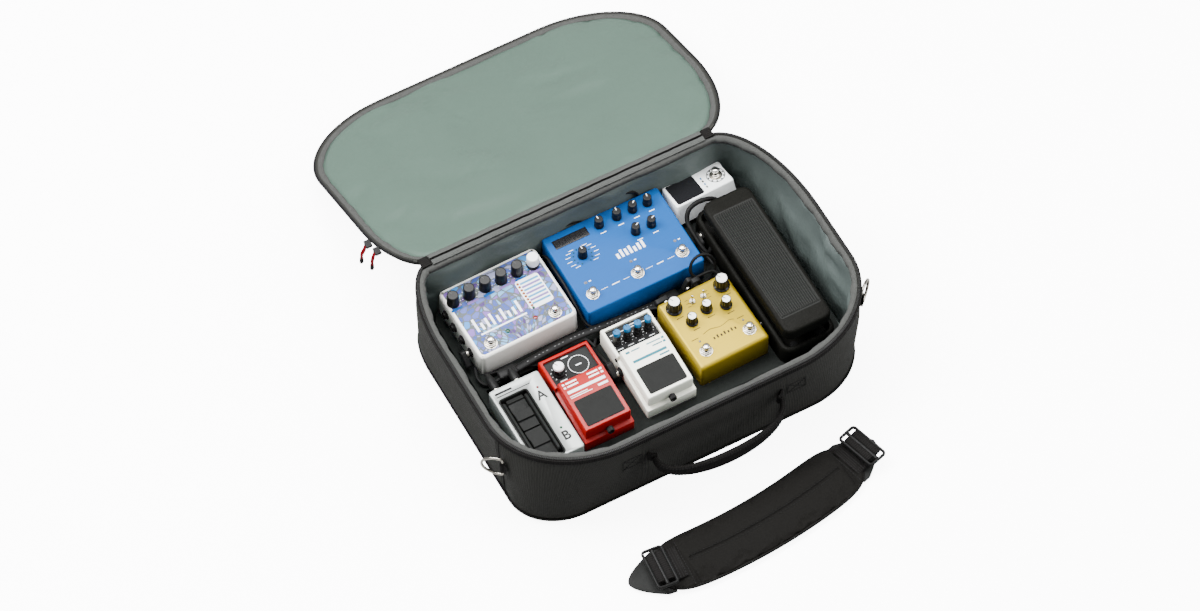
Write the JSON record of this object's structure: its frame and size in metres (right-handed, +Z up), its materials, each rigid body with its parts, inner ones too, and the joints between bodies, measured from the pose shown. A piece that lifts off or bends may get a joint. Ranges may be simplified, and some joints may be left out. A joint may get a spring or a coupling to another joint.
{
  "type": "pedalboard",
  "caption": "Effects pedals on a deck in an open soft zip case with a hinged lid, carry handle and a loose padded shoulder strap.",
  "frame": {"origin": "centre of the case's footprint, on the floor", "axes": "+X along the case to the right, +Y from the carry handle to the lid's hinge, +Z up"},
  "size_m": [0.571, 0.8584, 0.1458],
  "materials": {
    "black_plastic": "matte moulded",
    "blue_metal": "blue anodised",
    "cable": "satin jacket",
    "cast_silver": "bare casting with a printed top",
    "chrome": "polished",
    "cream_paint": "satin",
    "crinkle_black": "crinkle",
    "deck": "black with hook-and-loop cloth",
    "gold_metal": "gold anodised",
    "knob_black": "moulded",
    "nickel": "nickel plated",
    "nylon": "woven ballistic nylon over foam",
    "red_cord": "braided cord with moulded ends",
    "red_paint": "satin",
    "ribbed_rubber": "moulded ribs",
    "silver_paint": "satin",
    "webbing": "woven webbing and padded nylon",
    "white_paint": "satin"
  },
  "bodies": {
    "case": {"case_base": "nylon", "board_deck": "deck", "patch_cable": "cable", "wah_base": "crinkle_black", "delay_casing": "cream_paint", "drive_casing": "gold_metal", "footswitch_casing": "silver_paint", "looper_casing": "red_paint", "modulation_casing": "blue_metal", "reverb_casing": "cast_silver", "tuner_casing": "white_paint"},
    "strap": {"strap_pad": "webbing"},
    "carry_handle": {"carry_handle": "webbing"},
    "case_lid": {"case_lid": "nylon"},
    "d_ring_left": {"d_ring_left": "nickel"},
    "d_ring_right": {"d_ring_right": "nickel"},
    "delay_knob_1": {"delay_knob_1": "knob_black"},
    "delay_knob_2": {"delay_knob_2": "knob_black"},
    "delay_knob_3": {"delay_knob_3": "knob_black"},
    "delay_knob_4": {"delay_knob_4": "knob_black"},
    "delay_plate": {"delay_plate": "cream_paint"},
    "delay_thumbscrew": {"delay_thumbscrew": "black_plastic"},
    "drive_button_1": {"drive_button_1": "chrome"},
    "drive_button_2": {"drive_button_2": "chrome"},
    "drive_knob_1": {"drive_knob_1": "knob_black"},
    "drive_knob_2": {"drive_knob_2": "knob_black"},
    "drive_knob_3": {"drive_knob_3": "knob_black"},
    "drive_knob_4": {"drive_knob_4": "knob_black"},
    "drive_knob_5": {"drive_knob_5": "knob_black"},
    "drive_toggle_1": {"drive_toggle_1": "chrome"},
    "drive_toggle_2": {"drive_toggle_2": "chrome"},
    "footswitch_rocker_a": {"footswitch_rocker_a": "ribbed_rubber"},
    "footswitch_rocker_b": {"footswitch_rocker_b": "ribbed_rubber"},
    "looper_knob_1": {"looper_knob_1": "knob_black"},
    "looper_plate": {"looper_plate": "red_paint"},
    "looper_thumbscrew": {"looper_thumbscrew": "black_plastic"},
    "modulation_button_1": {"modulation_button_1": "chrome"},
    "modulation_button_2": {"modulation_button_2": "chrome"},
    "modulation_button_3": {"modulation_button_3": "chrome"},
    "modulation_knob_1": {"modulation_knob_1": "knob_black"},
    "modulation_knob_2": {"modulation_knob_2": "knob_black"},
    "modulation_knob_3": {"modulation_knob_3": "knob_black"},
    "modulation_knob_4": {"modulation_knob_4": "knob_black"},
    "modulation_knob_5": {"modulation_knob_5": "knob_black"},
    "modulation_knob_6": {"modulation_knob_6": "knob_black"},
    "modulation_knob_7": {"modulation_knob_7": "knob_black"},
    "reverb_button_1": {"reverb_button_1": "chrome"},
    "reverb_button_2": {"reverb_button_2": "chrome"},
    "reverb_knob_1": {"reverb_knob_1": "knob_black"},
    "reverb_knob_2": {"reverb_knob_2": "knob_black"},
    "reverb_knob_3": {"reverb_knob_3": "knob_black"},
    "reverb_knob_4": {"reverb_knob_4": "knob_black"},
    "reverb_knob_5": {"reverb_knob_5": "knob_black"},
    "reverb_knob_6": {"reverb_knob_6": "knob_black"},
    "strap_buckle_left": {"strap_buckle_left": "black_plastic"},
    "strap_buckle_right": {"strap_buckle_right": "black_plastic"},
    "tuner_button": {"tuner_button": "chrome"},
    "wah_treadle": {"wah_treadle": "ribbed_rubber"},
    "zip_pull_left": {"zip_pull_left": "red_cord"},
    "zip_pull_right": {"zip_pull_right": "red_cord"}
  },
  "joints": [
    {"name": "carry_handle_swing", "type": "hinge", "parent": "case", "child": "carry_handle", "pos_m": [0.004, -0.18577, 0.089], "axis": [1, 0, 0], "range_deg": [-75, 40]},
    {"name": "case_lid_hinge", "type": "hinge", "parent": "case", "child": "case_lid", "pos_m": [0, 0.184, 0.14515], "axis": [1, 0, 0], "range_deg": [0, 202]},
    {"name": "d_ring_left_swing", "type": "hinge", "parent": "case", "child": "d_ring_left", "pos_m": [-0.26516, -0.108, 0.095], "axis": [0, 0, 1], "range_deg": [-8, 110]},
    {"name": "d_ring_right_swing", "type": "hinge", "parent": "case", "child": "d_ring_right", "pos_m": [0.26054, -0.108, 0.095], "axis": [0, 0, 1], "range_deg": [-110, 8]},
    {"name": "zip_pull_left_swing", "type": "hinge", "parent": "case_lid", "child": "zip_pull_left", "pos_m": [-0.25658, 0.24519, 0.11643], "axis": [1, 0, 0], "range_deg": [-202, 0]},
    {"name": "zip_pull_right_swing", "type": "hinge", "parent": "case_lid", "child": "zip_pull_right", "pos_m": [-0.25983, 0.26559, 0.10819], "axis": [1, 0, 0], "range_deg": [-202, 0]},
    {"name": "strap_lift", "type": "slide", "parent": "case", "child": "strap", "axis": [0, 0, 1], "range_m": [0, 0.12]},
    {"name": "strap_buckle_left_tilt", "type": "hinge", "parent": "strap", "child": "strap_buckle_left", "pos_m": [-0.12422, -0.29494, 0.0149], "axis": [0.0868, 0.9962, 0], "range_deg": [0, 30]},
    {"name": "strap_buckle_right_tilt", "type": "hinge", "parent": "strap", "child": "strap_buckle_right", "pos_m": [0.16088, -0.26638, 0.0149], "axis": [0.2818, -0.9595, 0], "range_deg": [0, 30]},
    {"name": "delay_knob_1_turn", "type": "hinge", "parent": "case", "child": "delay_knob_1", "pos_m": [-0.0465, -0.01, 0.0853], "axis": [0, 0, 1], "range_deg": [-150, 150]},
    {"name": "delay_knob_2_turn", "type": "hinge", "parent": "case", "child": "delay_knob_2", "pos_m": [-0.0312, -0.01, 0.0853], "axis": [0, 0, 1], "range_deg": [-150, 150]},
    {"name": "delay_knob_3_turn", "type": "hinge", "parent": "case", "child": "delay_knob_3", "pos_m": [-0.0159, -0.01, 0.0853], "axis": [0, 0, 1], "range_deg": [-150, 150]},
    {"name": "delay_knob_4_turn", "type": "hinge", "parent": "case", "child": "delay_knob_4", "pos_m": [-0.0006, -0.01, 0.0853], "axis": [0, 0, 1], "range_deg": [-150, 150]},
    {"name": "drive_button_1_press", "type": "slide", "parent": "case", "child": "drive_button_1", "axis": [0, 0, -1], "range_m": [0, 0.0015]},
    {"name": "drive_button_2_press", "type": "slide", "parent": "case", "child": "drive_button_2", "axis": [0, 0, -1], "range_m": [0, 0.0015]},
    {"name": "drive_knob_1_turn", "type": "hinge", "parent": "case", "child": "drive_knob_1", "pos_m": [0.0399, -0.00638, 0.0963], "axis": [0, 0, 1], "range_deg": [-150, 150]},
    {"name": "drive_knob_2_turn", "type": "hinge", "parent": "case", "child": "drive_knob_2", "pos_m": [0.11087, -0.0044, 0.0963], "axis": [0, 0, 1], "range_deg": [-150, 150]},
    {"name": "drive_knob_3_turn", "type": "hinge", "parent": "case", "child": "drive_knob_3", "pos_m": [0.05069, -0.03459, 0.0963], "axis": [0, 0, 1], "range_deg": [-150, 150]},
    {"name": "drive_knob_4_turn", "type": "hinge", "parent": "case", "child": "drive_knob_4", "pos_m": [0.07647, -0.02637, 0.0963], "axis": [0, 0, 1], "range_deg": [-150, 150]},
    {"name": "drive_knob_5_turn", "type": "hinge", "parent": "case", "child": "drive_knob_5", "pos_m": [0.10167, -0.03317, 0.0963], "axis": [0, 0, 1], "range_deg": [-150, 150]},
    {"name": "drive_toggle_1_flick", "type": "hinge", "parent": "case", "child": "drive_toggle_1", "pos_m": [0.06594, -0.00765, 0.1005], "axis": [0.9996, 0.0279, 0], "range_deg": [-12, 12]},
    {"name": "drive_toggle_2_flick", "type": "hinge", "parent": "case", "child": "drive_toggle_2", "pos_m": [0.08244, -0.00719, 0.1005], "axis": [0.9996, 0.0279, 0], "range_deg": [-12, 12]},
    {"name": "looper_knob_1_turn", "type": "hinge", "parent": "case", "child": "looper_knob_1", "pos_m": [-0.1335, -0.014, 0.0853], "axis": [0, 0, 1], "range_deg": [-150, 150]},
    {"name": "modulation_button_1_press", "type": "slide", "parent": "case", "child": "modulation_button_1", "axis": [0, 0, -1], "range_m": [0, 0.0015]},
    {"name": "modulation_button_2_press", "type": "slide", "parent": "case", "child": "modulation_button_2", "axis": [0, 0, -1], "range_m": [0, 0.0015]},
    {"name": "modulation_button_3_press", "type": "slide", "parent": "case", "child": "modulation_button_3", "axis": [0, 0, -1], "range_m": [0, 0.0015]},
    {"name": "modulation_knob_1_turn", "type": "hinge", "parent": "case", "child": "modulation_knob_1", "pos_m": [-0.0252, 0.1215, 0.0983], "axis": [0, 0, 1], "continuous": true},
    {"name": "modulation_knob_2_turn", "type": "hinge", "parent": "case", "child": "modulation_knob_2", "pos_m": [0.0157, 0.1525, 0.0983], "axis": [0, 0, 1], "range_deg": [-150, 150]},
    {"name": "modulation_knob_3_turn", "type": "hinge", "parent": "case", "child": "modulation_knob_3", "pos_m": [0.042, 0.1525, 0.0983], "axis": [0, 0, 1], "range_deg": [-150, 150]},
    {"name": "modulation_knob_4_turn", "type": "hinge", "parent": "case", "child": "modulation_knob_4", "pos_m": [0.0655, 0.1525, 0.0983], "axis": [0, 0, 1], "range_deg": [-150, 150]},
    {"name": "modulation_knob_5_turn", "type": "hinge", "parent": "case", "child": "modulation_knob_5", "pos_m": [0.0875, 0.1525, 0.0983], "axis": [0, 0, 1], "range_deg": [-150, 150]},
    {"name": "modulation_knob_6_turn", "type": "hinge", "parent": "case", "child": "modulation_knob_6", "pos_m": [0.0527, 0.1205, 0.0983], "axis": [0, 0, 1], "range_deg": [-150, 150]},
    {"name": "modulation_knob_7_turn", "type": "hinge", "parent": "case", "child": "modulation_knob_7", "pos_m": [0.076, 0.1205, 0.0983], "axis": [0, 0, 1], "range_deg": [-150, 150]},
    {"name": "reverb_button_1_press", "type": "slide", "parent": "case", "child": "reverb_button_1", "axis": [0, 0, -1], "range_m": [0, 0.0015]},
    {"name": "reverb_button_2_press", "type": "slide", "parent": "case", "child": "reverb_button_2", "axis": [0, 0, -1], "range_m": [0, 0.0015]},
    {"name": "reverb_knob_1_turn", "type": "hinge", "parent": "case", "child": "reverb_knob_1", "pos_m": [-0.20515, 0.14061, 0.0938], "axis": [0, 0, 1], "range_deg": [-150, 150]},
    {"name": "reverb_knob_2_turn", "type": "hinge", "parent": "case", "child": "reverb_knob_2", "pos_m": [-0.18155, 0.14107, 0.0938], "axis": [0, 0, 1], "range_deg": [-150, 150]},
    {"name": "reverb_knob_3_turn", "type": "hinge", "parent": "case", "child": "reverb_knob_3", "pos_m": [-0.15796, 0.14152, 0.0938], "axis": [0, 0, 1], "range_deg": [-150, 150]},
    {"name": "reverb_knob_4_turn", "type": "hinge", "parent": "case", "child": "reverb_knob_4", "pos_m": [-0.13436, 0.14197, 0.0938], "axis": [0, 0, 1], "range_deg": [-150, 150]},
    {"name": "reverb_knob_5_turn", "type": "hinge", "parent": "case", "child": "reverb_knob_5", "pos_m": [-0.11077, 0.14242, 0.0938], "axis": [0, 0, 1], "range_deg": [-150, 150]},
    {"name": "reverb_knob_6_turn", "type": "hinge", "parent": "case", "child": "reverb_knob_6", "pos_m": [-0.08717, 0.14288, 0.0938], "axis": [0, 0, 1], "range_deg": [-150, 150]},
    {"name": "tuner_button_press", "type": "slide", "parent": "case", "child": "tuner_button", "axis": [0.0061, -0.1735, -0.9848], "range_m": [0, 0.0015]},
    {"name": "delay_plate_press", "type": "hinge", "parent": "case", "child": "delay_plate", "pos_m": [-0.022, -0.0315, 0.088], "axis": [1, 0, 0], "range_deg": [0, 2.2]},
    {"name": "delay_thumbscrew_turn", "type": "hinge", "parent": "delay_plate", "child": "delay_thumbscrew", "pos_m": [-0.022, -0.1103, 0.083], "axis": [0, -1, 0], "continuous": true},
    {"name": "looper_plate_press", "type": "hinge", "parent": "case", "child": "looper_plate", "pos_m": [-0.115, -0.0355, 0.088], "axis": [1, 0, 0], "range_deg": [0, 2.2]},
    {"name": "looper_thumbscrew_turn", "type": "hinge", "parent": "looper_plate", "child": "looper_thumbscrew", "pos_m": [-0.115, -0.1143, 0.083], "axis": [0, -1, 0], "continuous": true},
    {"name": "footswitch_rocker_a_press", "type": "hinge", "parent": "case", "child": "footswitch_rocker_a", "pos_m": [-0.203, -0.0708, 0.089], "axis": [-1, 0, 0], "range_deg": [0, 4]},
    {"name": "footswitch_rocker_b_press", "type": "hinge", "parent": "case", "child": "footswitch_rocker_b", "pos_m": [-0.203, -0.0732, 0.089], "axis": [1, 0, 0], "range_deg": [0, 4]},
    {"name": "wah_treadle_tilt", "type": "hinge", "parent": "case", "child": "wah_treadle", "pos_m": [0.175, -0.068, 0.075], "axis": [1, 0, 0], "range_deg": [-7, 7]}
  ],
  "couplings": [
    {"joint": "zip_pull_left_swing", "follows": "case_lid_hinge", "ratio": -1},
    {"joint": "zip_pull_right_swing", "follows": "case_lid_hinge", "ratio": -1}
  ]
}
